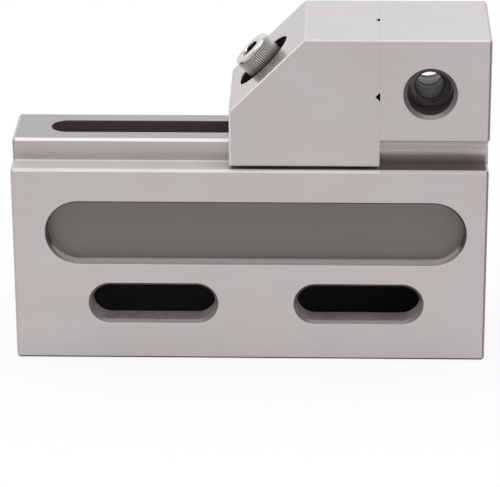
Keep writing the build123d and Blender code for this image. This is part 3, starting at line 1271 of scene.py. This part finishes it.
@dataclass
class MovableJaw:
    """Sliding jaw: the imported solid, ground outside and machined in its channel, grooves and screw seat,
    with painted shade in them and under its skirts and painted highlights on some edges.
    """

    frame: ScrewFrame
    half_width: float = 20.0
    clamp_x: float = 40.73
    back_x: float = -6.27
    rail_top: float = 72.1
    foot: float = 66.25
    foot_chamfer: float = 0.7
    jaw_top: float = 108.0
    top_chamfer: float = 0.4
    channel_half_width: float = 11.52
    groove_depth: float = 1.5
    level_groove: float = 89.5
    head_sink: float = 2.3
    seat_reach: float = 11.0
    seat_chamfer: float = 0.32
    # Machined finish darkened to near black: partly painted shade inside the channel and the screw seat
    machined: SteelTone = SteelTone((0.070, 0.067, 0.065), 0.45, 0.6)
    # Painted shade: near black V grooves behind the clamping face
    grooves: SteelTone = SteelTone((0.030, 0.029, 0.028), 0.50, 0.5)
    # Painted shade: black underside of the skirts, for the dark gap above the ledge
    underside: SteelTone = SteelTone((0.015, 0.014, 0.013), 0.80, 0.0)
    broken_edges: SteelTone = SteelTone((0.430, 0.418, 0.412), 0.40)
    # Painted highlight: near white chamfers on the ramp's sides, at the back and along the skirts' foot
    highlight_edges: SteelTone = SteelTone((0.860, 0.840, 0.820), 0.45, 0.4)
    ramp: SteelTone = SteelTone((0.545, 0.538, 0.528), 0.20)

    def dress(self, node: Object, effects: SharedEffects) -> None:
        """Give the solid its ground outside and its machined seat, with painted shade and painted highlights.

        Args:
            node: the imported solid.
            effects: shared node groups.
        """
        ramp_level = self.head_sink - self.seat_chamfer
        seat = Both(self.frame.round_axis(self.seat_reach), self.frame.below(ramp_level))
        skirt = (self.foot - MARGIN, self.foot + SKIN)
        zones = (
            (self.ramp, (self.frame.above(ramp_level),)),
            # painted highlights on these chamfers
            (self.highlight_edges, (*self.ramp_sides(), *self.lower_edges())),
            (self.broken_edges, self.top_edges()),
            # machined finish with painted shade in the channel and the seat
            (self.machined, (self.channel(), seat)),
            # painted shade in the V grooves
            (self.grooves, self.vee_grooves()),
            # painted shade under the skirts
            (self.underside, (across((-FAR, self.clamp_x - SKIN), FAR, skirt),)),
        )
        assign(node, GroundSteel("ground_steel_jaw_finish", zones).build(effects))

    def top_edges(self) -> tuple[BoxZone, BoxZone]:
        """Broken edges along both sides of the top."""
        y, z = (past_cut(size, self.top_chamfer) for size in (self.half_width, self.jaw_top))
        return both_sides((-FAR, FAR), (y, FAR), (z, FAR))

    def ramp_sides(self) -> tuple[Both, ...]:
        """Broken edges along both sides of the ramp, which get a painted highlight.

        Returns:
            The front and the back zone.
        """
        y, level = (past_cut(size, self.top_chamfer) for size in (self.half_width, self.head_sink))
        near_ramp = self.frame.above(level)
        return tuple(Both(near_ramp, side) for side in both_sides((-FAR, FAR), (y, FAR), (0.0, FAR)))

    def lower_edges(self) -> tuple[BoxZone, ...]:
        """Broken edges at the back of the jaw and along the foot of its skirts, which get a painted
        highlight.

        Returns:
            Two boxes at the front and two at the back.
        """
        y = (past_cut(self.half_width, self.foot_chamfer), FAR)
        inset = self.foot_chamfer - SKIN / 2
        upright = both_sides((-FAR, self.back_x + inset), y, (self.foot, self.jaw_top))
        level = both_sides((-FAR, self.clamp_x), y, (self.foot + SKIN, self.foot + inset))
        return (*upright, *level)

    def channel(self) -> BoxZone:
        """Channel that straddles the rail."""
        return across((-FAR, FAR), self.channel_half_width + SKIN, (0.0, self.rail_top + SKIN))

    def vee_grooves(self) -> tuple[BoxZone, BoxZone]:
        """Upright and level V grooves behind the clamping face.

        Returns:
            The upright and the level box.
        """
        x = (self.clamp_x - self.groove_depth - SKIN, self.clamp_x - SKIN)
        half = self.groove_depth + SKIN
        upright = across(x, half, (self.rail_top, self.jaw_top - SKIN))
        level = across(x, self.half_width - SKIN, (self.level_groove - half, self.level_groove + half))
        return upright, level


@dataclass
class ScrewSet:
    """The clamping screw, its ball washer and the cross nut."""

    frame: ScrewFrame
    nickel: SteelTone = SteelTone((0.66, 0.655, 0.635), 0.24)
    knurl: SteelTone = SteelTone((0.980, 0.965, 0.940), 0.38, 0.20)
    # Painted shade: darker lower part of the knurled head, fading upwards
    knurl_foot: SteelTone = SteelTone((0.190, 0.182, 0.173), 0.35, 0.6)
    # Painted shade: darker roots between the knurl's ridges
    knurl_root_shade: SteelTone = SteelTone((0.300, 0.288, 0.275), 0.50, 0.35)
    seat_shade: SteelTone = SteelTone((0.060, 0.057, 0.054), 0.50, 0.5)
    # Painted shade: near black inside the hexagon socket, below its lit mouth
    socket: SteelTone = SteelTone((0.020, 0.020, 0.019), 0.45, 0.5)
    washer: SteelTone = SteelTone((0.022, 0.021, 0.021), 0.38)
    nut: SteelTone = SteelTone((0.060, 0.058, 0.056), 0.42)
    under_head: float = -0.1
    root_share: float = 0.45
    root_softness: float = 0.14
    shade_height: float = 2.0
    knurl_shade_height: float = 3.4
    knurl_shade_softness: float = 1.3
    lit_depth: float = 0.95
    middle_half_width: float = 1.5
    rim_steps: int = 4
    rim_step: float = 0.12

    def build(self, nodes: dict[str, Object], effects: SharedEffects) -> list[Object]:
        """Build the screw and the washer, and dress the nut.

        Args:
            nodes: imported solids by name.
            effects: shared node groups.

        Returns:
            The pieces made here.
        """
        clamp_screw = ClampScrew(self.frame)
        screw = clamp_screw.build()
        washer = BallWasher(self.frame).build()
        assign(screw, self.nickel_finish(clamp_screw).build(effects))
        assign(washer, PlatedSteel("black_oxide_washer", self.washer).build(effects))
        assign(nodes["cross_nut"], PlatedSteel("black_oxide_nut", self.nut).build(effects))
        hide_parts("clamp_screw")
        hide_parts("ball_washer")
        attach(screw, "screw")
        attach(washer, "swivel")
        return [screw, washer]

    def nickel_finish(self, screw: ClampScrew) -> PlatedSteel:
        """Nickel, matt on the knurl, with painted shade between its ridges, on the head's lower part, inside
        the seat and inside the socket.

        Args:
            screw: sizes of the screw.

        Returns:
            The finish.
        """
        frame = self.frame
        head = frame.above(self.under_head)
        band = Both(head, frame.below(screw.knurl_top))
        root_radius = screw.head_diameter / 2 - screw.knurl_depth * self.root_share
        root_shade = Both(band, frame.round_axis(root_radius, self.root_softness))
        rims = np.linspace(screw.socket_width / 2, screw.socket_width / math.sqrt(3), self.rim_steps)
        middle = frame.beside(self.middle_half_width)
        socket_shade = tuple(
            Both(middle, Both(frame.below(screw.mouth_height(rim)), frame.round_axis(rim + self.rim_step)))
            for rim in rims.tolist()
        )
        widest = frame.round_axis(float(rims[-1]) + self.rim_step)
        zones = (
            (self.knurl, (band,)),
            # painted shade between the knurl's ridges
            (self.knurl_root_shade, (root_shade,)),
            # painted shade on the head's lower part
            (self.knurl_foot, (Both(band, frame.below(self.knurl_shade_height, self.knurl_shade_softness)),)),
            (self.seat_shade, (Both(head, frame.below(self.shade_height)),)),
            # painted shade inside the socket
            (self.socket, (Both(frame.below(screw.head_height - self.lit_depth), widest), *socket_shade)),
        )
        return PlatedSteel("satin_nickel", self.nickel, zones)


# Studio


def stand(thing: Object, place: Place, forward: Array, up: Place) -> Object:
    """Stand a camera or a lamp at a place and link it to the scene.

    Its columns are right, up and backwards: right is up x back, and up is worked out again from the two.

    Args:
        thing: the camera or the lamp.
        place: where it stands.
        forward: the way it looks.
        up: a direction near its upper side.

    Returns:
        The same object.
    """
    back = -forward / np.linalg.norm(forward)
    right = np.cross(up, back)
    right /= np.linalg.norm(right)
    turn = np.eye(4)
    turn[:3] = np.column_stack([right, np.cross(back, right), back, in_metres(place)])
    thing.matrix_world = Matrix(turn.tolist())
    bpy.context.scene.collection.objects.link(thing)
    return thing


@dataclass(frozen=True)
class Camera:
    """View of the photograph, found from measured corners of the vise."""

    place: Place = (26.505, -876.502, 396.969)
    forward: Place = (-0.02836, 0.92275, -0.38435)
    up: Place = (-0.00604, 0.38434, 0.92317)
    focal_pixels: float = 2935.75
    image_width: float = 500.0
    sensor: float = 36.0
    clip: Span = (0.01, 50.0)

    def build(self) -> None:
        """Make the camera that the scene uses."""
        data = bpy.data.cameras.new("photo_view")
        data.sensor_fit = "HORIZONTAL"
        data.sensor_width = self.sensor
        data.lens = self.focal_pixels * self.sensor / self.image_width
        data.clip_start, data.clip_end = self.clip
        camera = bpy.data.objects.new("photo_view", data)
        bpy.context.scene.camera = stand(camera, self.place, np.array(self.forward), self.up)


@dataclass(frozen=True)
class SoftBox:
    """A broad area lamp that points at a target."""

    name: str = "top_box"
    place: Place = (-50.0, -230.0, 1250.0)
    target: Place = (0.0, 0.0, 40.0)
    size: Span = (1600.0, 1200.0)
    watts: float = 10.5
    color: Color = (1.0, 0.99, 0.98)
    up: Place = (0.0, 0.999, 0.04)

    def build(self) -> None:
        """Make the lamp."""
        data = bpy.data.lights.new(self.name, "AREA")
        data.shape = "RECTANGLE"
        data.size, data.size_y = (side * MM for side in self.size)
        data.energy = self.watts
        data.color = self.color
        lamp = bpy.data.objects.new(self.name, data)
        stand(lamp, self.place, np.array(self.target) - np.array(self.place), self.up)


@dataclass
class Studio:
    """White table and pale surroundings. Each step along a direction is a pair of its start and end."""

    floor_half: float = 6000.0
    floor_points: int = 5
    floor_color: Color = (0.93, 0.93, 0.93)
    footprint: Span = (75.0, 20.0)
    wall: float = 4.0
    shade_reach: float = 80.0
    near_glow: float = 0.5
    near_white: float = 0.85
    reflected_floor: Color = (0.93, 0.885, 0.88)
    horizon: float = 0.93
    upper: float = 1.24
    zenith: float = 0.5
    right_dim: float = 0.55
    rise: Span = (0.05, 0.4)
    fall: Span = (0.45, 0.85)
    to_the_right: Span = (0.25, 0.85)
    to_the_back: Span = (-0.75, 0.1)
    front_color: Color = (0.17, 0.135, 0.13)
    front_wall: Color = (0.80, 0.78, 0.77)
    wall_foot: Span = (0.08, 0.24)
    wall_head: Span = (0.60, 0.80)

    def floor(self) -> None:
        """Lay the table as a flat grid.

        Its own glow shows only to the camera and to reflections: full away from the vise, weaker beside it
        and none under it.
        """
        side = np.linspace(-self.floor_half, self.floor_half, self.floor_points) * MM
        x, y = np.meshgrid(side, side, indexing="ij")
        table = surface("table_top", np.stack([x, y, 0 * x], axis=-1))
        material = bpy.data.materials.new("white_table")
        material.use_nodes = True
        tree = Tree(material.node_tree)
        path = tree.add("ShaderNodeLightPath").outputs
        camera = path["Is Camera Ray"]
        seen = tree.math("MAXIMUM", camera, path["Is Glossy Ray"])
        seen = tree.math("MAXIMUM", seen, path["Is Transmission Ray"])
        place = tree.add("ShaderNodeTexCoord").outputs["Object"]
        beside, before, _ = tree.split(tree.vector("ABSOLUTE", place))
        away = tree.math(
            "MAXIMUM",
            tree.math("SUBTRACT", beside, self.footprint[0] * MM),
            tree.math("SUBTRACT", before, self.footprint[1] * MM),
        )
        near = tree.blend(camera, self.near_glow, self.near_white)
        open_floor = tree.remap(away, 0.0, self.shade_reach * MM, near, 1.0)
        outside = tree.math("GREATER_THAN", away, -self.wall * MM)
        share = tree.math("MULTIPLY", seen, tree.math("MULTIPLY", open_floor, outside))
        matt = tree.add("ShaderNodeBsdfDiffuse", (*self.floor_color, 1.0))
        glow = tree.add("ShaderNodeEmission", tree.mix(camera, self.reflected_floor, WHITE))
        both = tree.add("ShaderNodeMixShader", share, matt.outputs[0], glow.outputs[0])
        tree.add("ShaderNodeOutputMaterial", both.outputs[0])
        assign(table, material)

    def world(self) -> None:
        """Light by direction: bright behind and above, dimmer in front, and white to the camera."""
        world = bpy.data.worlds.new("pale_room")
        world.use_nodes = True
        bpy.context.scene.world = world
        tree = Tree(world.node_tree)
        path = tree.add("ShaderNodeLightPath").outputs
        x, y, z = tree.split(tree.add("ShaderNodeTexCoord").outputs["Generated"])
        level = tree.remap(z, *self.rise, self.horizon, self.upper)
        level = tree.math("MULTIPLY", level, tree.remap(z, *self.fall, 1.0, self.zenith / self.upper))
        level = tree.math("MULTIPLY", level, tree.remap(x, *self.to_the_right, 1.0, self.right_dim))
        wall = tree.math("MULTIPLY", tree.remap(z, *self.wall_foot), tree.remap(z, *self.wall_head, 1.0, 0.0))
        reflected_wall = tree.math("MULTIPLY", wall, path["Is Glossy Ray"])
        front = tree.mix(reflected_wall, self.front_color, self.front_wall)
        room = tree.mix(tree.remap(y, *self.to_the_back), front, tree.tint(WHITE, level))
        light = tree.add("ShaderNodeBackground", tree.mix(path["Is Camera Ray"], room, WHITE))
        tree.add("ShaderNodeOutputWorld", light.outputs[0])

    def build(self) -> None:
        """Make the table, the surroundings, the lamp and the camera."""
        self.floor()
        self.world()
        SoftBox().build()
        Camera().build()
        bpy.context.scene.view_settings.view_transform = "Standard"


def main() -> None:
    """Load the frame, dress its solids, build the pieces that replace some, and set up the studio."""
    logging.basicConfig(level=logging.INFO, format="%(message)s")
    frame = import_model()
    nodes = frame["nodes"]
    effects = SharedEffects()
    screw_frame = ScrewFrame.from_record(frame["record"])

    ViseBody().dress(nodes["vise_body"], effects)
    log.info("dressed the body with its fixed jaw")
    MovableJaw(screw_frame).dress(nodes["movable_jaw"], effects)
    log.info("dressed the movable jaw")
    for piece in ScrewSet(screw_frame).build(nodes, effects):
        log.info("built %s with %d faces", piece.name, len(piece.data.polygons))

    Studio().build()


if __name__ == "__main__":
    main()
